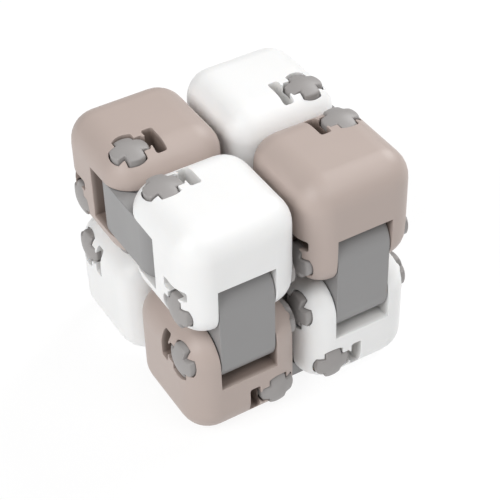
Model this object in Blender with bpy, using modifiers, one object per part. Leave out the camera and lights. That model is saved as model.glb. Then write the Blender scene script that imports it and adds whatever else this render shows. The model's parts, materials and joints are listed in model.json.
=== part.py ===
"""Folding fidget cube: eight hinged blocks in one closed loop, joined by eight two-pivot links.

World frame: metres, +Z up, origin on the resting face under the middle of the closed cube.
Every block is one moulding in two hands. Its own frame has three axes:
    x  the face hidden inside the closed cube, which the cover plate closes
    y  the outer face that the T pivot's pocket opens on
    z  the outer face that no pocket touches
The T pivot runs along x near the +y/-z edge, and the O pivot along z near the -x/-y edge.
"""

import math

import bmesh
import bpy
from mathutils import Matrix, Vector

# Driving dimensions, metres
BLOCK_SIDE = 0.020
BLOCK_GAP = 0.001
EDGE_RADIUS = 0.005
WALL = 0.0015
PIVOT_INSET = 0.0048
LINK_WIDTH = 0.0097
LINK_END_RADIUS = 0.0046
POCKET_CLEARANCE = 0.0003
POCKET_SIDE_CLEARANCE = 0.0002
POCKET_WALL = 0.0012
CROSS_RADIUS = 0.00305
CROSS_ARM_WIDTH = 0.0029
CROSS_PROUD = 0.00025
CROSS_DOME = 0.0006
CROSS_FIT = 0.0002
BORE_CLEARANCE = 0.00025
SLOT_OFFSET = 0.00415
SLOT_WIDTH = 0.0019
SLOT_LENGTH = 0.0053
SLOT_DEPTH = 0.0036
NECK_WIDTH = 0.0023
COVER_THICKNESS = 0.0016
COVER_GAP = 0.0003

# Facets
EDGE_SEGMENTS = 3
CAVITY_SEGMENTS = 1
ROUND_SEGMENTS = 16
DOME_STEPS = 2
SHARP_ANGLE = 35
SAME_POINT = 0.000001
MERGE_DISTANCE = 0.00001
EMPTY_SIZE = 0.003

# Worked out from the driving dimensions
HALF = BLOCK_SIDE / 2
BLOCK_CENTRE = (BLOCK_SIDE + BLOCK_GAP) / 2
CUBE_HALF = BLOCK_SIDE + BLOCK_GAP / 2
CUBE_CENTRE = Vector((0.0, 0.0, CUBE_HALF))
PIVOT = HALF - PIVOT_INSET
PIVOT_FROM_MIDDLE = BLOCK_GAP / 2 + PIVOT_INSET
PIVOT_FROM_CENTRE = CUBE_HALF - PIVOT_INSET
POCKET_RADIUS = LINK_END_RADIUS + POCKET_CLEARANCE
POCKET_HALF_WIDTH = LINK_WIDTH / 2 + POCKET_SIDE_CLEARANCE
POCKET_FLOOR = PIVOT - POCKET_RADIUS
BORE_RADIUS = CROSS_RADIUS + BORE_CLEARANCE
NECK_START = CROSS_RADIUS - CROSS_ARM_WIDTH / 4
SLOT_START = SLOT_OFFSET - SLOT_WIDTH / 2
SLOT_END = SLOT_OFFSET + SLOT_WIDTH / 2
PAST = BLOCK_SIDE * 0.6

# Finishes: linear colour and roughness
FINISHES = {
    "white_plastic": ((0.83, 0.83, 0.82), 0.42),
    "taupe_plastic": ((0.50, 0.42, 0.37), 0.46),
    "link_plastic": ((0.27, 0.27, 0.265), 0.45),
    "axle_plastic": ((0.36, 0.36, 0.35), 0.45),
}

PIECES = "Folding fidget cube"
CUTTERS = "Cutters"


def clear_scene():
    """Remove every object that the file holds."""
    for item in list(bpy.data.objects):
        bpy.data.objects.remove(item, do_unlink=True)


def make_collection(name):
    """Return a new collection linked to the scene."""
    collection = bpy.data.collections.new(name)
    bpy.context.scene.collection.children.link(collection)
    return collection


def make_finish(name):
    """Return a Principled material with the named finish."""
    colour, roughness = FINISHES[name]
    material = bpy.data.materials.new(name)
    material.use_nodes = True
    shader = material.node_tree.nodes["Principled BSDF"]
    shader.inputs["Base Color"].default_value = (*colour, 1.0)
    shader.inputs["Roughness"].default_value = roughness
    shader.inputs["Metallic"].default_value = 0.0
    material.diffuse_color = (*colour, 1.0)
    return material


def work_object(name, mesh):
    """Return an object for shaping, kept apart from the finished pieces."""
    item = bpy.data.objects.new(name, mesh)
    item.hide_render = True
    item.display_type = "WIRE"
    bpy.data.collections[CUTTERS].objects.link(item)
    return item


def box(low, high):
    """Return a block between two corners."""
    low, high = Vector(low), Vector(high)
    shape = bmesh.new()
    size = Matrix.Diagonal((*(high - low), 1.0))
    bmesh.ops.create_cube(shape, size=1.0, matrix=Matrix.Translation((low + high) / 2) @ size)
    mesh = bpy.data.meshes.new("box")
    shape.to_mesh(mesh)
    shape.free()
    return work_object("box", mesh)


def rounded_cube(side, radius, segments):
    """Return a cube whose twelve edges are rounded."""
    item = box((-side / 2,) * 3, (side / 2,) * 3)
    bevel = item.modifiers.new("Rounding", "BEVEL")
    bevel.width = radius
    bevel.segments = segments
    bevel.limit_method = "NONE"
    return item


def cylinder(radius, length, axis, centre):
    """Return a round bar along the x, y or z axis."""
    turn = Vector((0, 0, 1)).rotation_difference(axis).to_matrix().to_4x4()
    shape = bmesh.new()
    bmesh.ops.create_cone(
        shape,
        cap_ends=True,
        segments=ROUND_SEGMENTS,
        radius1=radius,
        radius2=radius,
        depth=length,
        matrix=Matrix.Translation(centre) @ turn,
    )
    mesh = bpy.data.meshes.new("bar")
    shape.to_mesh(mesh)
    shape.free()
    return work_object("bar", mesh)


def round_one_edge(item, middle, radius):
    """Round the edge whose middle lies at the given point."""
    shape = bmesh.new()
    shape.from_mesh(item.data)
    near = []
    for edge in shape.edges:
        start, end = edge.verts
        if ((start.co + end.co) / 2 - middle).length < SAME_POINT:
            near.append(edge)
    bmesh.ops.bevel(
        shape,
        geom=near,
        offset=radius,
        segments=ROUND_SEGMENTS // 4,
        profile=0.5,
        affect="EDGES",
    )
    shape.to_mesh(item.data)
    shape.free()
    return item


def settle(item):
    """Replace an object's mesh with its modifiers' result."""
    graph = bpy.context.evaluated_depsgraph_get()
    graph.update()
    shaped = bpy.data.meshes.new_from_object(item.evaluated_get(graph))
    item.modifiers.clear()
    item.data = shaped
    return item


def combine(item, other, operation):
    """Apply one exact Boolean and drop the second operand."""
    cut = item.modifiers.new("Cut", "BOOLEAN")
    cut.solver = "EXACT"
    cut.operation = operation
    cut.object = other
    settle(item)
    bpy.data.objects.remove(other, do_unlink=True)
    return item


def cut_all(item, others):
    """Cut each of the other objects out of the item."""
    for other in others:
        combine(item, other, "DIFFERENCE")
    return item


def plus_bars(arm_width, reach, half_length, axis, centre):
    """Return the two crossed bars of a plus-shaped profile that runs along x or z."""
    side, up = [v for v in (Vector((1, 0, 0)), Vector((0, 1, 0)), Vector((0, 0, 1))) if v != axis]
    bars = []
    for wide, narrow in ((side, up), (up, side)):
        extent = wide * reach + narrow * (arm_width / 2) + axis * half_length
        bars.append(box(centre - extent, centre + extent))
    return bars


def cross_bar(radius, arm_width, length, axis, centre):
    """Return a bar with a cross profile and rounded arm tips."""
    first, second = plus_bars(arm_width, 2 * radius, length, axis, centre)
    combine(first, second, "UNION")
    return combine(first, cylinder(radius, length, axis, centre), "INTERSECT")


def pocket(hidden_edge, low, high):
    """Return the cutter of one link pocket, whose inner edge follows the link's round end."""
    return round_one_edge(box(low, high), Vector(hidden_edge), POCKET_RADIUS)


def t_centre():
    """Return the T pivot's point in the middle plane of the block."""
    return Vector((0.0, PIVOT, -PIVOT))


def o_centre():
    """Return the O pivot's point in the middle plane of the block."""
    return Vector((-PIVOT, -PIVOT, 0.0))


def pocket_cutters():
    """Return the cutters of both link pockets."""
    wide, floor = POCKET_HALF_WIDTH, POCKET_FLOOR
    t_pocket = pocket((0, floor, -floor), (-wide, floor, -PAST), (wide, PAST, -floor))
    o_pocket = pocket((-floor, -floor, 0), (-PAST, -PAST, -wide), (-floor, -floor, wide))
    return [t_pocket, o_pocket]


def axle_hole_cutters():
    """Return the cross holes, their necks and the straight slots beside them."""
    hole = CROSS_RADIUS + CROSS_FIT
    arm = CROSS_ARM_WIDTH + 2 * CROSS_FIT
    along_x, along_z = Vector((1, 0, 0)), Vector((0, 0, 1))
    cutters = [
        cross_bar(hole, arm, 2 * PAST, along_x, t_centre()),
        cross_bar(hole, arm, 2 * PAST, along_z, o_centre()),
    ]
    floor = HALF - SLOT_DEPTH
    for half, start, end in (
        (SLOT_LENGTH / 2, SLOT_START, SLOT_END),
        (NECK_WIDTH / 2, NECK_START, SLOT_OFFSET),
    ):
        for near, far in ((floor, PAST), (-PAST, -floor)):
            cutters.append(box((near, PIVOT - half, start - PIVOT), (far, PIVOT + half, end - PIVOT)))
            cutters.append(box((start - PIVOT, -PIVOT - half, near), (end - PIVOT, -PIVOT + half, far)))
    return cutters


def t_pillar(clearance):
    """Return the quarter of the block that stays solid, from face to face, round the T pivot."""
    edge = POCKET_FLOOR - POCKET_WALL - clearance
    return box((-PAST, edge, -PAST), (PAST, PAST, -edge))


def o_pillar():
    """Return the quarter of the block that stays solid, from face to face, round the O pivot."""
    edge = POCKET_FLOOR - POCKET_WALL
    return box((-PAST, -PAST, -PAST), (-edge, -edge, PAST))


def cavity():
    """Return the hollow of the shell, which goes round both solid quarters."""
    hollow = rounded_cube(BLOCK_SIDE - 2 * WALL, EDGE_RADIUS - WALL, CAVITY_SEGMENTS)
    settle(hollow)
    return cut_all(hollow, [t_pillar(0.0), o_pillar()])


def shell_mesh():
    """Return the hollow block, open at +x where the cover closes it."""
    item = rounded_cube(BLOCK_SIDE, EDGE_RADIUS, EDGE_SEGMENTS)
    settle(item)
    rim = HALF - COVER_THICKNESS - COVER_GAP
    above_rim = box((rim, -PAST, -PAST), (PAST, PAST, PAST))
    combine(above_rim, t_pillar(0.0), "DIFFERENCE")
    cut_all(item, [cavity(), above_rim, *pocket_cutters(), *axle_hole_cutters()])
    return take_mesh(item, "shell")


def cover_mesh():
    """Return the L-shaped plate that closes the hollow on the block's hidden face."""
    item = rounded_cube(BLOCK_SIDE, EDGE_RADIUS, EDGE_SEGMENTS)
    settle(item)
    under_plate = box((-PAST, -PAST, -PAST), (HALF - COVER_THICKNESS, PAST, PAST))
    cut_all(item, [under_plate, t_pillar(COVER_GAP)])
    return take_mesh(item, "cover")


def link_mesh():
    """Return the link along y: two round ends about its pivots, each with a round bore along x."""
    item = box(
        (-LINK_WIDTH / 2, -PIVOT_FROM_MIDDLE, -LINK_END_RADIUS),
        (LINK_WIDTH / 2, PIVOT_FROM_MIDDLE, LINK_END_RADIUS),
    )
    along_x = Vector((1, 0, 0))
    for y in (-PIVOT_FROM_MIDDLE, PIVOT_FROM_MIDDLE):
        combine(item, cylinder(LINK_END_RADIUS, LINK_WIDTH, along_x, Vector((0, y, 0))), "UNION")
    for y in (-PIVOT_FROM_MIDDLE, PIVOT_FROM_MIDDLE):
        combine(item, cylinder(BORE_RADIUS, 2 * LINK_WIDTH, along_x, Vector((0, y, 0))), "DIFFERENCE")
    return take_mesh(item, "link")


def domed_bar(radius, half_length, dome):
    """Return a turned bar along z whose two ends are shallow domes."""
    ball = (radius**2 + dome**2) / (2 * dome)
    profile = []
    for step in range(DOME_STEPS + 1):
        across = radius * step / DOME_STEPS
        profile.append((across, half_length - ball + math.sqrt(ball**2 - across**2)))
    profile += [(across, -height) for across, height in reversed(profile)]
    shape = bmesh.new()
    corners = [shape.verts.new((across, 0.0, height)) for across, height in profile]
    for start, end in zip(corners, corners[1:]):
        shape.edges.new((start, end))
    mesh = bpy.data.meshes.new("domed bar")
    shape.to_mesh(mesh)
    shape.free()
    item = work_object("domed bar", mesh)
    screw = item.modifiers.new("Turning", "SCREW")
    screw.steps = ROUND_SEGMENTS
    screw.render_steps = ROUND_SEGMENTS
    screw.use_merge_vertices = True
    screw.merge_threshold = MERGE_DISTANCE
    return settle(item)


def axle_mesh():
    """Return the cross axle along z, with domed ends that stand a little proud of the block."""
    half_length = HALF + CROSS_PROUD
    first, second = plus_bars(CROSS_ARM_WIDTH, 2 * CROSS_RADIUS, 2 * HALF, Vector((0, 0, 1)), Vector())
    combine(first, second, "UNION")
    combine(first, domed_bar(CROSS_RADIUS, half_length, CROSS_DOME), "INTERSECT")
    return take_mesh(first, "axle")


def take_mesh(item, name):
    """Return the item's mesh, smooth but for its real edges, and drop the item."""
    mesh = item.data
    mesh.name = name
    bpy.data.objects.remove(item, do_unlink=True)
    mesh.shade_smooth()
    mesh.set_sharp_from_angle(angle=math.radians(SHARP_ANGLE))
    return mesh


def mirrored(mesh):
    """Return the other hand of a moulding, mirrored across its own x."""
    other = mesh.copy()
    other.transform(Matrix.Scale(-1.0, 4, Vector((1, 0, 0))))
    other.flip_normals()
    return other


def with_finish(mesh, material):
    """Return the mesh with one material."""
    mesh.materials.clear()
    mesh.materials.append(material)
    return mesh


def sign(index):
    """Return -1 for a block on the low side and +1 for one on the high side."""
    return 2 * index - 1


def block_name(i, j, k):
    """Return a block's name from its three indices."""
    return "_".join((("lower", "upper")[k], ("front", "back")[j], ("left", "right")[i]))


def block_centre(i, j, k):
    """Return the middle of a block in the closed cube."""
    return CUBE_CENTRE + BLOCK_CENTRE * Vector((sign(i), sign(j), sign(k)))


def block_axes(i, j, k):
    """Return the world directions of a block's own x, y and z."""
    across = Vector((sign(i), 0, 0))
    along = Vector((0, sign(j), 0))
    up = Vector((0, 0, 1))
    if k == 1:
        return [-across, along, up]
    return [-along, -up, across]


def frame_matrix(axes, place):
    """Return the matrix with the given axes as its columns."""
    turn = Matrix(axes).transposed().to_4x4()
    return Matrix.Translation(place) @ turn


# Each link: the direction from its first pivot to its second, its axle direction,
# the outer face it lies in, and the indices of the blocks that it joins.
LINKS = {
    "upper_left_link": ((0, 1, 0), (0, 0, 1), (-1, 0, 0), (0, 0, 1), (0, 1, 1)),
    "upper_right_link": ((0, 1, 0), (0, 0, 1), (1, 0, 0), (1, 0, 1), (1, 1, 1)),
    "front_left_link": ((0, 0, -1), (1, 0, 0), (0, -1, 0), (0, 0, 1), (0, 0, 0)),
    "front_right_link": ((0, 0, -1), (1, 0, 0), (0, -1, 0), (1, 0, 1), (1, 0, 0)),
    "back_left_link": ((0, 0, -1), (1, 0, 0), (0, 1, 0), (0, 1, 1), (0, 1, 0)),
    "back_right_link": ((0, 0, -1), (1, 0, 0), (0, 1, 0), (1, 1, 1), (1, 1, 0)),
    "lower_front_link": ((1, 0, 0), (0, 1, 0), (0, 0, -1), (0, 0, 0), (1, 0, 0)),
    "lower_back_link": ((1, 0, 0), (0, 1, 0), (0, 0, -1), (0, 1, 0), (1, 1, 0)),
}

# Each moving body: its parent body, and the link and end (0 or 1) whose pivot it turns about.
BODIES = {
    "upper_left_pair": (None, "upper_left_link", 0),
    "front_left_hinge": ("upper_left_pair", "front_left_link", 0),
    "lower_front_left": ("front_left_hinge", "front_left_link", 1),
    "lower_front_hinge": ("lower_front_left", "lower_front_link", 0),
    "lower_front_right": ("lower_front_hinge", "lower_front_link", 1),
    "front_right_hinge": ("lower_front_right", "front_right_link", 1),
    "upper_right_pair": ("front_right_hinge", "front_right_link", 0),
    "back_left_hinge": ("upper_left_pair", "back_left_link", 0),
    "lower_back_left": ("back_left_hinge", "back_left_link", 1),
    "lower_back_hinge": ("lower_back_left", "lower_back_link", 0),
    "lower_back_right": ("lower_back_hinge", "lower_back_link", 1),
    "back_right_hinge": ("lower_back_right", "back_right_link", 1),
}

LINK_BODY = {
    "upper_left_link": "upper_left_pair",
    "upper_right_link": "upper_right_pair",
    "front_left_link": "front_left_hinge",
    "front_right_link": "front_right_hinge",
    "back_left_link": "back_left_hinge",
    "back_right_link": "back_right_hinge",
    "lower_front_link": "lower_front_hinge",
    "lower_back_link": "lower_back_hinge",
}


def block_body(i, j, k):
    """Return the name of the body that a block belongs to."""
    if k == 1:
        return ("upper_left_pair", "upper_right_pair")[i]
    return block_name(i, j, k)


def pivot_point(link, end):
    """Return the world position of one pivot of a link, in the middle of its axle."""
    run, axle, outer, *joined = LINKS[link]
    run, axle, outer = Vector(run), Vector(axle), Vector(outer)
    middle = CUBE_CENTRE + PIVOT_FROM_CENTRE * outer
    beside = block_centre(*joined[end]).dot(axle) - CUBE_CENTRE.dot(axle)
    return middle + beside * axle + (2 * end - 1) * PIVOT_FROM_MIDDLE * run


def make_pivots(collection):
    """Return an empty for each body, on its joint axis and parented along the chain."""
    pivots = {}
    for body, (parent, link, end) in BODIES.items():
        pivot = bpy.data.objects.new(body + "_pivot", None)
        pivot.empty_display_size = EMPTY_SIZE
        collection.objects.link(pivot)
        pivot.location = pivot_point(link, end)
        if parent:
            pivot.parent = pivots[parent]
            pivot.location = pivot_point(link, end) - pivot_point(*BODIES[parent][1:])
        pivots[body] = pivot
    return pivots


def place(name, mesh, matrix, body, pivots, collection):
    """Add one piece to its body, with its place given in the world."""
    item = bpy.data.objects.new(name, mesh)
    collection.objects.link(item)
    item.parent = pivots[body]
    item.matrix_local = Matrix.Translation(-pivot_point(*BODIES[body][1:])) @ matrix
    return item


def add_blocks(finishes, pivots, collection):
    """Add the eight shells and covers: one hand in white and the other in taupe."""
    hands = {"taupe_plastic": (shell_mesh(), cover_mesh())}
    hands["white_plastic"] = tuple(mirrored(mesh) for mesh in hands["taupe_plastic"])
    for finish, meshes in hands.items():
        for mesh in meshes:
            with_finish(mesh, finishes[finish])
    for i in (0, 1):
        for j in (0, 1):
            for k in (0, 1):
                axes = block_axes(i, j, k)
                hand = "taupe_plastic"
                if (i + j + k) % 2:
                    hand = "white_plastic"
                    axes[0] = -axes[0]
                matrix = frame_matrix(axes, block_centre(i, j, k))
                for mesh, part in zip(hands[hand], ("shell", "cover")):
                    name = block_name(i, j, k) + "_" + part
                    place(name, mesh, matrix, block_body(i, j, k), pivots, collection)


def add_links(finishes, pivots, collection):
    """Add the eight links, each midway between its two pivots."""
    mesh = with_finish(link_mesh(), finishes["link_plastic"])
    for name, (run, axle, *_) in LINKS.items():
        run, axle = Vector(run), Vector(axle)
        middle = (pivot_point(name, 0) + pivot_point(name, 1)) / 2
        matrix = frame_matrix([axle, run, axle.cross(run)], middle)
        place(name, mesh, matrix, LINK_BODY[name], pivots, collection)


def axle_end_name(first, second, end):
    """Return the word that tells a link's two axles apart."""
    words = (("left", "right"), ("front", "back"), ("lower", "upper"))
    axis = [a != b for a, b in zip(first, second)].index(True)
    return words[axis][(first, second)[end][axis]]


def add_axles(finishes, pivots, collection):
    """Add the sixteen cross axles, each fixed in a block and turning in a link."""
    mesh = with_finish(axle_mesh(), finishes["axle_plastic"])
    for link, (run, axle, _, *joined) in LINKS.items():
        run, axle = Vector(run), Vector(axle)
        for end in (0, 1):
            name = link.replace("_link", "_axle_") + axle_end_name(*joined, end)
            matrix = frame_matrix([run, axle.cross(run), axle], pivot_point(link, end))
            place(name, mesh, matrix, block_body(*joined[end]), pivots, collection)


def main():
    """Build the closed cube."""
    clear_scene()
    collection = make_collection(PIECES)
    make_collection(CUTTERS)
    finishes = {name: make_finish(name) for name in FINISHES}
    pivots = make_pivots(collection)
    add_blocks(finishes, pivots, collection)
    add_links(finishes, pivots, collection)
    add_axles(finishes, pivots, collection)


main()
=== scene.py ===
"""Looks of the folding fidget cube: fine moulded pieces, their plastics, the studio and the camera.

Shapes are made in millimetres in a piece's own frame and scaled to metres before they are placed.
A block's own frame: x points out of its hidden face, y out of the outer face that the T pivot's
pocket opens on, and z out of the outer face that no pocket touches. The T pivot runs along x near
the +y/-z edge, and the O pivot along z near the -x/-y edge.
"""

import json
import math

import bmesh
import bpy
from mathutils import Matrix, Vector


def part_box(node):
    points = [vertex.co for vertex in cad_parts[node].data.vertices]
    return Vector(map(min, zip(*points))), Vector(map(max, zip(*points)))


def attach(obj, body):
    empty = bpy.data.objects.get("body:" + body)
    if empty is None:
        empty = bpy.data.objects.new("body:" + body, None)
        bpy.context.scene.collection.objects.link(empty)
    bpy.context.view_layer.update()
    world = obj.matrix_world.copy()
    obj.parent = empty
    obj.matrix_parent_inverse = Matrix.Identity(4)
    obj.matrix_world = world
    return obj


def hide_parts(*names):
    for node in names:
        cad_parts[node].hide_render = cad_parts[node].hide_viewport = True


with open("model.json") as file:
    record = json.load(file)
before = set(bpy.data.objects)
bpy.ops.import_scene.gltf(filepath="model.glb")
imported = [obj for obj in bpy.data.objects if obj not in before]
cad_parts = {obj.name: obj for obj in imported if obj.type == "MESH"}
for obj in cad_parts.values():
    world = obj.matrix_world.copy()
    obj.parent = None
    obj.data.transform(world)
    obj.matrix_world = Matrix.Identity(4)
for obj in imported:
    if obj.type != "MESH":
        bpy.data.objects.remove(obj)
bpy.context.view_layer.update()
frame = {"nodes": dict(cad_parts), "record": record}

MM = 0.001
ALONG_X = Vector((1, 0, 0))
ALONG_Y = Vector((0, 1, 0))
ALONG_Z = Vector((0, 0, 1))


def corners(*nodes):
    """Return the lowest and highest corner of some CAD nodes, in millimetres."""
    boxes = [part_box(node) for node in nodes]
    low = Vector(min(box[0][axis] for box in boxes) for axis in range(3))
    high = Vector(max(box[1][axis] for box in boxes) for axis in range(3))
    return low / MM, high / MM


def corners_of_block(name):
    """Return the corners of one block, its shell and cover together."""
    return corners(name + "_shell", name + "_cover")


# Sizes from the frame, in millimetres
block_low, block_high = corners_of_block("upper_front_left")
link_low, link_high = corners("front_left_link")
axle_low, axle_high = corners("front_left_axle_upper")
BLOCK_SIDE = round((block_high - block_low).y, 3)
BLOCK_GAP = round(2 * (-block_high.x), 3)
HALF = BLOCK_SIDE / 2
LINK_WIDTH = round((link_high - link_low).x, 3)
LINK_END_RADIUS = round((link_high - link_low).y / 2, 3)
LINK_HALF_SPAN = round((link_high - link_low).z / 2 - LINK_END_RADIUS, 3)  # link's middle to a pivot
AXLE_LENGTH = round((axle_high - axle_low).x, 3)
CROSS_RADIUS = round((axle_high - axle_low).y / 2, 3)
PIVOT = HALF - (LINK_HALF_SPAN - BLOCK_GAP / 2)  # block's middle to a pivot, along two of its axes
CUBE_CENTRE = Vector((0, 0, BLOCK_SIDE + BLOCK_GAP / 2))

# Blocks, in millimetres
EDGE_RADIUS = 5.0
WALL = 1.5
POCKET_END_GAP = 0.3
POCKET_SIDE_GAP = 0.15
POCKET_RADIUS = LINK_END_RADIUS + POCKET_END_GAP
POCKET_HALF_WIDTH = LINK_WIDTH / 2 + POCKET_SIDE_GAP
POCKET_FLOOR = PIVOT - POCKET_RADIUS
POCKET_WALL = 1.2
PILLAR_EDGE = POCKET_FLOOR - POCKET_WALL
COVER_THICKNESS = 1.75
COVER_GAP = 0.005  # keeps the faces of cover and shell from coinciding
SLOT_OFFSET = 4.25  # axle's middle to the slot's middle
SLOT_WIDTH = 1.85
SLOT_LENGTH = 5.3
SLOT_DEPTH = 3.6
SLOT_CORNER = 0.4
NECK_WIDTH = 2.3
NECK_DEPTH = 1.3

# Axles and links, in millimetres
CROSS_ARM = 2.9
CROSS_DOME = 0.8
CROSS_FIT = 0.2
NOTCH_RADIUS = 0.12
BORE_FIT = 0.25
BORE_RADIUS = CROSS_RADIUS + BORE_FIT

# Small moulded radii, in millimetres
SOFT_EDGE = 0.12
LINK_SOFT_EDGE = 0.12
AXLE_SOFT_EDGE = 0.22

# Fineness of the meshes
EDGE_SEGMENTS = 9
TURN_SEGMENTS = 64
CORNER_SEGMENTS = 4
NOTCH_SEGMENTS = 3
SOFT_SEGMENTS = 2
DOME_STEPS = 8

# Reaches and tolerances, in millimetres and degrees
PAST = HALF * 1.2  # past any face of a block
SAME_PLACE = 0.0001
SHORTEST_EDGE = 0.02
SEAM_REACH = 0.05  # an edge this close to the cover's seam stays sharp
ON_OUTSIDE = 0.025  # a point this close to the rounded outside lies on it
FACES_OUT = 0.6  # least cosine between a face's own normal and the outside's
REAL_EDGE_ANGLE = 32
NORMAL_WEIGHT = 90

# Plastics by slot: name, colour, roughness, share of light scattered inside, colour of the painted shade
# in the recesses
PLASTICS = {
    "white_block": ("white_plastic", (0.86, 0.86, 0.855), 0.42, 0.15, (0.84, 0.83, 0.82)),
    "taupe_block": ("taupe_plastic", (0.461, 0.382, 0.346), 0.46, 0.0, (0.54, 0.51, 0.49)),
    "link": ("link_plastic", (0.283, 0.279, 0.279), 0.44, 0.0, None),
    "axle": ("axle_plastic", (0.33, 0.314, 0.307), 0.44, 0.0, None),
}
REFRACTION = 1.5
SPECULAR = 0.45
SCATTER_REACH = 0.6  # mm
SCATTER_BY_COLOUR = (1.0, 0.9, 0.8)
PAINTED_SHADE_START = 0.06  # mm below the outside, where the painted shade in a recess begins
PAINTED_SHADE_REACH = 1.0  # mm below the outside, where the painted shade is darkest
PATTERN_SHIFT = (0.7, 1.3, 2.1)
CLOUD_SCALE, CLOUD_DETAIL = 160.0, 3.0  # scales are per metre
SHEEN_SCALE, SHEEN_DETAIL = 90.0, 4.0
GRAIN_SCALE, GRAIN_DETAIL = 5200.0, 2.0
MOTTLE = 0.02  # share by which the colour changes either way
SHEEN_NOISE = (0.3, 0.7)  # noise values between which the roughness changes
SHEEN_CHANGE = 0.05
GRAIN_STRENGTH = 0.05
GRAIN_HEIGHT = 0.05  # mm
MIX_FIRST, MIX_SECOND, MIX_RESULT = 6, 7, 2  # a Mix node's colour sockets, whose names repeat

# Studio, in metres and degrees
FLOOR_SIDE = 6.0
FLOOR_DROP = 0.05  # mm below the blocks, so that no faces coincide
FLOOR_COLOUR = (0.15, 0.15, 0.15, 1.0)
FLOOR_ROUGHNESS = 0.9
FLOOR_GLOW = 0.85
SURROUNDINGS_STRENGTH = 0.12
WHITE = (1.0, 1.0, 1.0, 1.0)
LIGHT_DISTANCE = 0.6
LIGHTS = (  # name, azimuth, elevation, side, watts
    ("key", -77, 41, 0.35, 2.3),
    ("front", 13, 57, 0.4, 1.4),
    ("back", 105, 40, 0.35, 2.4),
)

# Camera, in metres and degrees
SENSOR_WIDTH = 36.0  # mm
FOCAL_LENGTH = 106.4  # mm
CLIP = (0.01, 50.0)
CAMERA_TARGET = Vector((0.5, -2.5, -2.2))  # mm from the cube's centre
CAMERA_DISTANCE = 0.2403
CAMERA_AZIMUTH = -30.1
CAMERA_ELEVATION = 41.2
CAMERA_ROLL = -1.55


# Shaping


def new_item(mesh):
    """Return an object for shaping, linked to the scene."""
    item = bpy.data.objects.new(mesh.name, mesh)
    bpy.context.scene.collection.objects.link(item)
    return item


def take_mesh(item, name):
    """Return the item's mesh and drop the item."""
    mesh = item.data
    mesh.name = name
    bpy.data.objects.remove(item, do_unlink=True)
    return mesh


def from_bmesh(shape, name):
    """Return a shaping object from a bmesh."""
    mesh = bpy.data.meshes.new(name)
    shape.to_mesh(mesh)
    shape.free()
    return new_item(mesh)


def box(low, high):
    """Return a block between two corners."""
    low, high = Vector(low), Vector(high)
    size = Matrix.Diagonal((*(high - low), 1.0))
    shape = bmesh.new()
    bmesh.ops.create_cube(shape, size=1.0, matrix=Matrix.Translation((low + high) / 2) @ size)
    return from_bmesh(shape, "box")


def cylinder(radius, length, axis, centre):
    """Return a round bar along the given axis."""
    turn = ALONG_Z.rotation_difference(axis).to_matrix().to_4x4()
    shape = bmesh.new()
    bmesh.ops.create_cone(
        shape,
        cap_ends=True,
        segments=TURN_SEGMENTS,
        radius1=radius,
        radius2=radius,
        depth=length,
        matrix=Matrix.Translation(centre) @ turn,
    )
    return from_bmesh(shape, "bar")


def middle_of(edge):
    """Return the middle point of an edge."""
    return (edge.verts[0].co + edge.verts[1].co) / 2


def runs_along(axis):
    """Return a test for edges that run along an axis."""
    def runs(edge):
        return (edge.verts[1].co - edge.verts[0].co).normalized().cross(axis).length < SAME_PLACE
    return runs


def round_edges(item, wanted, radius, segments):
    """Round the edges that the test picks out."""
    shape = bmesh.new()
    shape.from_mesh(item.data)
    picked = [edge for edge in shape.edges if wanted(edge)]
    bmesh.ops.bevel(shape, geom=picked, offset=radius, segments=segments, profile=0.5, affect="EDGES")
    shape.to_mesh(item.data)
    shape.free()
    return item


def settle(item):
    """Replace an object's mesh with its modifiers' result."""
    graph = bpy.context.evaluated_depsgraph_get()
    graph.update()
    shaped = bpy.data.meshes.new_from_object(item.evaluated_get(graph))
    item.modifiers.clear()
    item.data = shaped
    return item


def combine(item, other, operation):
    """Apply one exact Boolean and drop the second operand."""
    cut = item.modifiers.new("Cut", "BOOLEAN")
    cut.solver = "EXACT"
    cut.operation = operation
    cut.object = other
    settle(item)
    bpy.data.objects.remove(other, do_unlink=True)
    return item


def cut_all(item, others):
    """Cut each of the other objects out of the item."""
    for other in others:
        combine(item, other, "DIFFERENCE")
    return item


def tidy_edges(item):
    """Merge points that lie closer than the shortest useful edge."""
    shape = bmesh.new()
    shape.from_mesh(item.data)
    bmesh.ops.remove_doubles(shape, verts=shape.verts, dist=SHORTEST_EDGE)
    bmesh.ops.dissolve_degenerate(shape, edges=shape.edges, dist=SHORTEST_EDGE / 2)
    shape.to_mesh(item.data)
    shape.free()


def soften(item, width, wanted=None):
    """Round the real edges, or those of them whose middle the test picks, by a small radius."""
    mesh = item.data
    shape = bmesh.new()
    shape.from_mesh(mesh)
    weights = []
    for edge in shape.edges:
        real = edge.is_manifold and edge.calc_face_angle() > math.radians(REAL_EDGE_ANGLE)
        weights.append(float(real and (wanted is None or wanted(middle_of(edge)))))
    shape.free()
    mesh.attributes.new("bevel_weight_edge", "FLOAT", "EDGE").data.foreach_set("value", weights)
    bevel = item.modifiers.new("Soft edges", "BEVEL")
    bevel.width = width
    bevel.segments = SOFT_SEGMENTS
    bevel.limit_method = "WEIGHT"
    bevel.use_clamp_overlap = False
    bevel.loop_slide = False
    settle(item)


# Blocks


def rounded_cube(side, radius, segments):
    """Return a cube whose twelve edges are rounded."""
    item = box((-side / 2,) * 3, (side / 2,) * 3)
    bevel = item.modifiers.new("Rounding", "BEVEL")
    bevel.width = radius
    bevel.segments = segments
    bevel.limit_method = "NONE"
    return settle(item)


def pocket(hidden_edge, low, high):
    """Return the cutter of one link pocket, whose inner edge follows the link's round end."""
    hidden_edge = Vector(hidden_edge)

    def is_hidden(edge):
        return (middle_of(edge) - hidden_edge).length < SAME_PLACE

    return round_edges(box(low, high), is_hidden, POCKET_RADIUS, TURN_SEGMENTS // 4)


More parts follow.
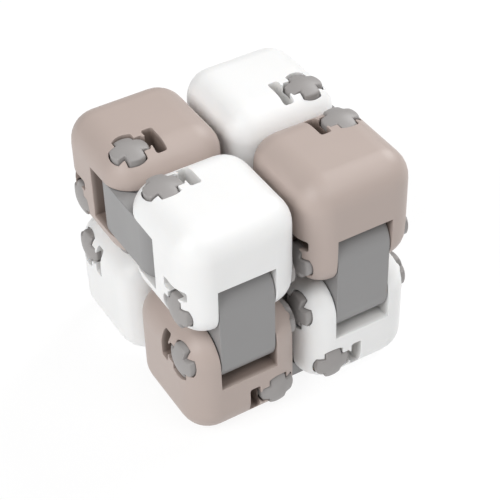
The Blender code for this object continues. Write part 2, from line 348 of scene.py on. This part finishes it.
def pocket_cutters():
    """Return the cutters of both link pockets."""
    wide, floor = POCKET_HALF_WIDTH, POCKET_FLOOR
    t_pocket = pocket((0, floor, -floor), (-wide, floor, -PAST), (wide, PAST, -floor))
    o_pocket = pocket((-floor, -floor, 0), (-PAST, -PAST, -wide), (-floor, -floor, wide))
    return [t_pocket, o_pocket]


def cross_bar(radius, arm_width, length, axis, centre):
    """Return a bar with a cross profile and round arm tips, along x or z."""
    side, up = [v for v in (ALONG_X, ALONG_Y, ALONG_Z) if v != axis]
    untrimmed = radius * 1.5  # the round bar trims the arms to their radius
    bars = []
    for wide, narrow in ((side, up), (up, side)):
        extent = wide * untrimmed + narrow * (arm_width / 2) + axis * length
        bars.append(box(centre - extent, centre + extent))
    combine(bars[0], bars[1], "UNION")
    return combine(bars[0], cylinder(radius, length, axis, centre), "INTERSECT")


def cutters_beside_axles(start, end, width, depth, corner=0.0):
    """Return straight cutters beside the four axle ends, from start to end off each axle's middle."""
    half = width / 2
    cutters = []
    for near, far in ((HALF - depth, PAST), (-PAST, depth - HALF)):
        by_t_pivot = (near, PIVOT - half, start - PIVOT), (far, PIVOT + half, end - PIVOT)
        by_o_pivot = (start - PIVOT, -PIVOT - half, near), (end - PIVOT, -PIVOT + half, far)
        for span, axis in ((by_t_pivot, ALONG_X), (by_o_pivot, ALONG_Z)):
            cutter = box(*span)
            if corner:
                round_edges(cutter, runs_along(axis), corner, CORNER_SEGMENTS)
            cutters.append(cutter)
    return cutters


def axle_hole_cutters():
    """Return the cross holes, the straight slots beside them and the necks that join the two."""
    hole = CROSS_RADIUS + CROSS_FIT
    arm = CROSS_ARM + 2 * CROSS_FIT
    holes = [
        cross_bar(hole, arm, 2 * PAST, ALONG_X, Vector((0, PIVOT, -PIVOT))),
        cross_bar(hole, arm, 2 * PAST, ALONG_Z, Vector((-PIVOT, -PIVOT, 0))),
    ]
    slot_start = SLOT_OFFSET - SLOT_WIDTH / 2
    slot_end = SLOT_OFFSET + SLOT_WIDTH / 2
    slots = cutters_beside_axles(slot_start, slot_end, SLOT_LENGTH, SLOT_DEPTH, SLOT_CORNER)
    # a neck runs a little into its hole and its slot
    neck_start = CROSS_RADIUS - CROSS_ARM / 4
    neck_end = slot_start + SLOT_WIDTH / 4
    necks = cutters_beside_axles(neck_start, neck_end, NECK_WIDTH, NECK_DEPTH)
    return holes + slots + necks


def t_pillar(clearance):
    """Return the quarter of the block that stays solid, from face to face, round the T pivot."""
    edge = PILLAR_EDGE - clearance
    return box((-PAST, edge, -PAST), (PAST, PAST, -edge))


def o_pillar():
    """Return the quarter of the block that stays solid, from face to face, round the O pivot."""
    return box((-PAST, -PAST, -PAST), (-PILLAR_EDGE, -PILLAR_EDGE, PAST))


def cavity():
    """Return the hollow of the shell, which goes round both solid quarters."""
    hollow = rounded_cube(BLOCK_SIDE - 2 * WALL, EDGE_RADIUS - WALL, CORNER_SEGMENTS)
    return cut_all(hollow, [t_pillar(0.0), o_pillar()])


def off_the_seam(point):
    """Return whether a point lies away from the hairline seam between shell and cover."""
    seam = HALF - COVER_THICKNESS
    on_rim = abs(point.x - seam) < SEAM_REACH
    by_pillar = abs(point.y - PILLAR_EDGE) < SEAM_REACH or abs(point.z + PILLAR_EDGE) < SEAM_REACH
    return not (on_rim or (point.x > seam and by_pillar))


def shell_mesh():
    """Return the hollow block, open at +x where the cover closes it."""
    item = rounded_cube(BLOCK_SIDE, EDGE_RADIUS, EDGE_SEGMENTS)
    rim = HALF - COVER_THICKNESS - COVER_GAP
    above_rim = box((rim, -PAST, -PAST), (PAST, PAST, PAST))
    combine(above_rim, t_pillar(0.0), "DIFFERENCE")
    cut_all(item, [cavity(), above_rim, *pocket_cutters(), *axle_hole_cutters()])
    tidy_edges(item)
    soften(item, SOFT_EDGE, off_the_seam)
    return take_mesh(item, "shell")


def cover_mesh():
    """Return the L-shaped plate that closes the hollow on the block's hidden face."""
    item = rounded_cube(BLOCK_SIDE, EDGE_RADIUS, EDGE_SEGMENTS)
    under_plate = box((-PAST, -PAST, -PAST), (HALF - COVER_THICKNESS, PAST, PAST))
    cut_all(item, [under_plate, t_pillar(COVER_GAP)])
    tidy_edges(item)
    return take_mesh(item, "cover")


def mirrored(mesh):
    """Return the other hand of a moulding, mirrored across its own x."""
    other = mesh.copy()
    other.transform(Matrix.Scale(-1.0, 4, ALONG_X))
    other.flip_normals()
    return other


# Links and axles


def link_mesh():
    """Return the link along y: two round ends about its pivots, each with a round bore along x."""
    item = box(
        (-LINK_WIDTH / 2, -LINK_HALF_SPAN, -LINK_END_RADIUS),
        (LINK_WIDTH / 2, LINK_HALF_SPAN, LINK_END_RADIUS),
    )
    pivots = [Vector((0, y, 0)) for y in (-LINK_HALF_SPAN, LINK_HALF_SPAN)]
    for pivot in pivots:
        combine(item, cylinder(LINK_END_RADIUS, LINK_WIDTH, ALONG_X, pivot), "UNION")
    for pivot in pivots:
        combine(item, cylinder(BORE_RADIUS, 2 * LINK_WIDTH, ALONG_X, pivot), "DIFFERENCE")
    tidy_edges(item)
    soften(item, LINK_SOFT_EDGE)
    return take_mesh(item, "link")


def domed_bar():
    """Return a turned bar along z whose two ends are shallow domes."""
    half_length = AXLE_LENGTH / 2
    ball = (CROSS_RADIUS**2 + CROSS_DOME**2) / (2 * CROSS_DOME)
    profile = []
    for step in range(DOME_STEPS + 1):
        across = CROSS_RADIUS * step / DOME_STEPS
        profile.append((across, half_length - ball + math.sqrt(ball**2 - across**2)))
    profile += [(across, -height) for across, height in reversed(profile)]
    shape = bmesh.new()
    points = [shape.verts.new((across, 0.0, height)) for across, height in profile]
    for start, end in zip(points, points[1:]):
        shape.edges.new((start, end))
    item = from_bmesh(shape, "domed bar")
    screw = item.modifiers.new("Turning", "SCREW")
    screw.steps = TURN_SEGMENTS
    screw.render_steps = TURN_SEGMENTS
    screw.use_merge_vertices = True
    screw.merge_threshold = SAME_PLACE
    return settle(item)


def axle_mesh():
    """Return the cross axle along z, with domed ends that stand a little proud of the block."""
    bars = []
    for size in ((2 * CROSS_RADIUS, CROSS_ARM / 2), (CROSS_ARM / 2, 2 * CROSS_RADIUS)):
        extent = Vector((*size, AXLE_LENGTH))
        bars.append(box(-extent, extent))
    combine(bars[0], bars[1], "UNION")
    runs_lengthwise = runs_along(ALONG_Z)

    def is_notch(edge):
        point = middle_of(edge)
        return runs_lengthwise(edge) and abs(point.x) < CROSS_RADIUS and abs(point.y) < CROSS_RADIUS

    round_edges(bars[0], is_notch, NOTCH_RADIUS, NOTCH_SEGMENTS)
    item = combine(bars[0], domed_bar(), "INTERSECT")
    tidy_edges(item)
    soften(item, AXLE_SOFT_EDGE)
    return take_mesh(item, "axle")


# Normals and scale


def outer_normal(point):
    """Return the rounded cube's normal where the point lies on its surface, or None."""
    flat = HALF - EDGE_RADIUS
    core = Vector(max(-flat, min(flat, value)) for value in point)
    out = point - core
    if abs(out.length - EDGE_RADIUS) > ON_OUTSIDE:
        return None
    return out.normalized()


def set_outer_normals(mesh):
    """Give the faces of a block's rounded outside their exact normals."""
    exact = [outer_normal(vertex.co) for vertex in mesh.vertices]
    normals = [Vector(corner.vector) for corner in mesh.corner_normals]
    for polygon in mesh.polygons:
        wholly_outside = all(exact[vertex] is not None for vertex in polygon.vertices)
        for corner in polygon.loop_indices:
            wanted = exact[mesh.loops[corner].vertex_index]
            if wanted is not None and (wholly_outside or wanted.dot(polygon.normal) > FACES_OUT):
                normals[corner] = wanted
    mesh.normals_split_custom_set(normals)


def weigh_normals(mesh):
    """Return the mesh shaded smoothly, with its normals weighted by face area."""
    item = new_item(mesh)
    mesh.shade_smooth()
    weighted = item.modifiers.new("Normals", "WEIGHTED_NORMAL")
    weighted.keep_sharp = False
    weighted.weight = NORMAL_WEIGHT
    settle(item)
    return take_mesh(item, mesh.name)


def in_metres(mesh):
    """Scale a mesh from millimetres to metres, keeping its normals."""
    normals = [Vector(corner.vector) for corner in mesh.corner_normals]
    mesh.transform(Matrix.Scale(MM, 4))
    mesh.normals_split_custom_set(normals)
    return mesh


def finished(mesh, is_block=False):
    """Return a mesh with its final normals, in metres."""
    mesh = weigh_normals(mesh)
    if is_block:
        set_outer_normals(mesh)
    return in_metres(mesh)


# Plastics


def noise(tree, place, scale, detail):
    """Return the value of a noise texture."""
    texture = tree.nodes.new("ShaderNodeTexNoise")
    texture.inputs["Scale"].default_value = scale
    texture.inputs["Detail"].default_value = detail
    tree.links.new(place, texture.inputs["Vector"])
    return texture.outputs["Fac"]


def mapped(tree, value, from_range, to_range=(0.0, 1.0), kind="LINEAR"):
    """Return a value carried from one range to another."""
    node = tree.nodes.new("ShaderNodeMapRange")
    node.interpolation_type = kind
    node.inputs["From Min"].default_value, node.inputs["From Max"].default_value = from_range
    node.inputs["To Min"].default_value, node.inputs["To Max"].default_value = to_range
    tree.links.new(value, node.inputs["Value"])
    return node.outputs["Result"]


def mixed(tree, share, first, second, kind="MIX"):
    """Return a mix of two colours, each a constant or another node's output."""
    node = tree.nodes.new("ShaderNodeMix")
    node.data_type = "RGBA"
    node.blend_type = kind
    for number, colour in ((MIX_FIRST, first), (MIX_SECOND, second)):
        if isinstance(colour, bpy.types.NodeSocket):
            tree.links.new(colour, node.inputs[number])
        else:
            node.inputs[number].default_value = (*colour, 1.0)
    tree.links.new(share, node.inputs["Factor"])
    return node.outputs[MIX_RESULT]


def painted_recess_shade(tree, place, colour, shade):
    """Return a colour with painted shade, growing darker with depth below the block's rounded outside,
    in place of the shadow in the recesses.
    """
    flat = (HALF - EDGE_RADIUS) * MM
    point = place
    for operation, value in (("ABSOLUTE", None), ("SUBTRACT", flat), ("MAXIMUM", 0.0), ("LENGTH", None)):
        step = tree.nodes.new("ShaderNodeVectorMath")
        step.operation = operation
        tree.links.new(point, step.inputs[0])
        if value is not None:
            step.inputs[1].default_value = (value, value, value)
        point = step.outputs["Value" if operation == "LENGTH" else "Vector"]
    radii = ((EDGE_RADIUS - PAINTED_SHADE_START) * MM, (EDGE_RADIUS - PAINTED_SHADE_REACH) * MM)
    depth = mapped(tree, point, radii, kind="SMOOTHSTEP")
    return mixed(tree, depth, colour, shade, kind="MULTIPLY")


def plastic(name, colour, roughness, scatter, painted_shade):
    """Return a satin moulded plastic: faint mottling, handling sheen, fine spark-eroded grain and, where
    given, painted shade in its recesses.
    """
    material = bpy.data.materials.new(name)
    material.use_nodes = True
    tree = material.node_tree
    shader = tree.nodes["Principled BSDF"]
    shader.inputs["IOR"].default_value = REFRACTION
    shader.inputs["Specular IOR Level"].default_value = SPECULAR
    if scatter:
        shader.inputs["Subsurface Weight"].default_value = scatter
        shader.inputs["Subsurface Radius"].default_value = SCATTER_BY_COLOUR
        shader.inputs["Subsurface Scale"].default_value = SCATTER_REACH * MM

    # every piece takes its pattern from another place
    place = tree.nodes.new("ShaderNodeTexCoord").outputs["Object"]
    who = tree.nodes.new("ShaderNodeObjectInfo")
    shift = tree.nodes.new("ShaderNodeVectorMath")
    shift.operation = "MULTIPLY_ADD"
    tree.links.new(who.outputs["Random"], shift.inputs[0])
    shift.inputs[1].default_value = PATTERN_SHIFT
    tree.links.new(place, shift.inputs[2])
    pattern = shift.outputs["Vector"]

    # broad, faint colour variation from the moulding
    cloud = noise(tree, pattern, CLOUD_SCALE, CLOUD_DETAIL)
    darker = tuple(c * (1 - MOTTLE) for c in colour)
    lighter = tuple(min(1.0, c * (1 + MOTTLE)) for c in colour)
    surface = mixed(tree, cloud, darker, lighter)
    # painted shade: the colour darkens with depth in slots, pockets and holes, in place of the shadow
    # that falls there
    if painted_shade:
        surface = painted_recess_shade(tree, place, surface, painted_shade)
    tree.links.new(surface, shader.inputs["Base Color"])

    # handling sheen: patches a little smoother or rougher than the rest
    sheen = noise(tree, pattern, SHEEN_SCALE, SHEEN_DETAIL)
    around = (roughness - SHEEN_CHANGE, roughness + SHEEN_CHANGE)
    tree.links.new(mapped(tree, sheen, SHEEN_NOISE, around), shader.inputs["Roughness"])

    # fine grain of the mould's surface
    bump = tree.nodes.new("ShaderNodeBump")
    bump.inputs["Strength"].default_value = GRAIN_STRENGTH
    bump.inputs["Distance"].default_value = GRAIN_HEIGHT * MM
    tree.links.new(noise(tree, pattern, GRAIN_SCALE, GRAIN_DETAIL), bump.inputs["Height"])
    tree.links.new(bump.outputs["Normal"], shader.inputs["Normal"])
    return material


# Placing


def sign(word):
    """Return -1 for the low side's words and +1 for the high side's."""
    return {"left": -1, "front": -1, "right": 1, "back": 1}[word]


def block_axes(level, depth, side):
    """Return the world directions of a block's own x, y and z."""
    across = sign(side) * ALONG_X
    deep = sign(depth) * ALONG_Y
    if level == "upper":
        return [-across, deep, ALONG_Z]
    return [-deep, -ALONG_Z, across]


def body_of(node):
    """Return the body that a CAD node belongs to."""
    for body, nodes in frame["record"]["behaviour"]["bodies"].items():
        if node in nodes:
            return body
    raise KeyError(node)


def add(node, mesh, axes, centre, slot, plastics):
    """Place a fine piece over its CAD node and let it ride on the node's body."""
    mesh.materials.clear()
    mesh.materials.append(plastics[slot])
    item = bpy.data.objects.new(node + "_moulding", mesh)
    bpy.context.scene.collection.objects.link(item)
    turn = Matrix(axes).transposed().to_4x4()
    item.matrix_world = Matrix.Translation(centre * MM) @ turn
    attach(item, body_of(node))
    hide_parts(node)


def add_blocks(plastics):
    """Add the eight shells and covers: one hand in white and the other in taupe."""
    plain = [shell_mesh(), cover_mesh()]
    white = [finished(mirrored(mesh), is_block=True) for mesh in plain]
    taupe = [finished(mesh, is_block=True) for mesh in plain]
    for level in ("lower", "upper"):
        for depth in ("front", "back"):
            for side in ("left", "right"):
                name = "_".join((level, depth, side))
                axes = block_axes(level, depth, side)
                low, high = corners_of_block(name)
                meshes, slot = taupe, "taupe_block"
                if Matrix(axes).determinant() < 0:
                    meshes, slot = white, "white_block"
                    axes[0] = -axes[0]
                for mesh, part in zip(meshes, ("_shell", "_cover")):
                    add(name + part, mesh, axes, (low + high) / 2, slot, plastics)


def unit(axis, way=1.0):
    """Return the unit vector along an axis number."""
    vector = Vector((0, 0, 0))
    vector[axis] = way
    return vector


def add_links(plastics):
    """Add the eight links, each turned so that its flat face looks outwards."""
    mesh = finished(link_mesh())
    for node in sorted(n for n in frame["nodes"] if n.endswith("_link")):
        low, high = corners(node)
        size, centre = high - low, (low + high) / 2
        order = sorted(range(3), key=lambda axis: size[axis])
        out = unit(order[0], math.copysign(1.0, (centre - CUBE_CENTRE)[order[0]]))
        run = unit(order[2])
        add(node, mesh, [run.cross(out), run, out], centre, "link", plastics)


def add_axles(plastics):
    """Add the sixteen cross axles."""
    mesh = finished(axle_mesh())
    for node in sorted(n for n in frame["nodes"] if "_axle_" in n):
        low, high = corners(node)
        size = high - low
        axis = max(range(3), key=lambda number: size[number])
        first, second = unit((axis + 1) % 3), unit((axis + 2) % 3)
        add(node, mesh, [first, second, unit(axis)], (low + high) / 2, "axle", plastics)


# Studio and camera


def look(item, place, target, roll=0.0):
    """Point a camera or light at a target, turned about its own line of sight."""
    item.location = place
    facing = (target - place).to_track_quat("-Z", "Y")
    item.rotation_mode = "QUATERNION"
    item.rotation_quaternion = facing @ Matrix.Rotation(math.radians(roll), 4, "Z").to_quaternion()


def from_angles(azimuth, elevation):
    """Return the direction from the object towards a viewer."""
    a, e = math.radians(azimuth), math.radians(elevation)
    return Vector((math.sin(a) * math.cos(e), -math.cos(a) * math.cos(e), math.sin(e)))


def add_floor():
    """Add the pale floor, which shines a little of its own."""
    bpy.ops.mesh.primitive_plane_add(size=FLOOR_SIDE, location=(0, 0, -FLOOR_DROP * MM))
    floor = bpy.context.object
    floor.name = "floor"
    material = bpy.data.materials.new("floor_white")
    material.use_nodes = True
    shader = material.node_tree.nodes["Principled BSDF"]
    shader.inputs["Base Color"].default_value = FLOOR_COLOUR
    shader.inputs["Roughness"].default_value = FLOOR_ROUGHNESS
    shader.inputs["Emission Color"].default_value = WHITE
    shader.inputs["Emission Strength"].default_value = FLOOR_GLOW
    floor.data.materials.append(material)


def add_surroundings():
    """Add the even white surroundings."""
    world = bpy.data.worlds.new("studio")
    bpy.context.scene.world = world
    world.use_nodes = True
    background = world.node_tree.nodes["Background"]
    background.inputs["Color"].default_value = WHITE
    background.inputs["Strength"].default_value = SURROUNDINGS_STRENGTH


def add_light(name, azimuth, elevation, side, watts):
    """Add a square soft light that faces the object."""
    data = bpy.data.lights.new(name, "AREA")
    data.shape = "SQUARE"
    data.size = side
    data.energy = watts
    light = bpy.data.objects.new(name, data)
    bpy.context.scene.collection.objects.link(light)
    centre = CUBE_CENTRE * MM
    look(light, centre + LIGHT_DISTANCE * from_angles(azimuth, elevation), centre)


def add_camera():
    """Add the camera at the photograph's place."""
    data = bpy.data.cameras.new("camera")
    data.sensor_width = SENSOR_WIDTH
    data.lens = FOCAL_LENGTH
    data.clip_start, data.clip_end = CLIP
    camera = bpy.data.objects.new("camera", data)
    bpy.context.scene.collection.objects.link(camera)
    target = (CUBE_CENTRE + CAMERA_TARGET) * MM
    away = CAMERA_DISTANCE * from_angles(CAMERA_AZIMUTH, CAMERA_ELEVATION)
    look(camera, target + away, target, CAMERA_ROLL)
    bpy.context.scene.camera = camera


plastics = {slot: plastic(*values) for slot, values in PLASTICS.items()}
add_blocks(plastics)
add_links(plastics)
add_axles(plastics)
add_floor()
add_surroundings()
for light_values in LIGHTS:
    add_light(*light_values)
add_camera()
bpy.context.scene.view_settings.view_transform = "Standard"
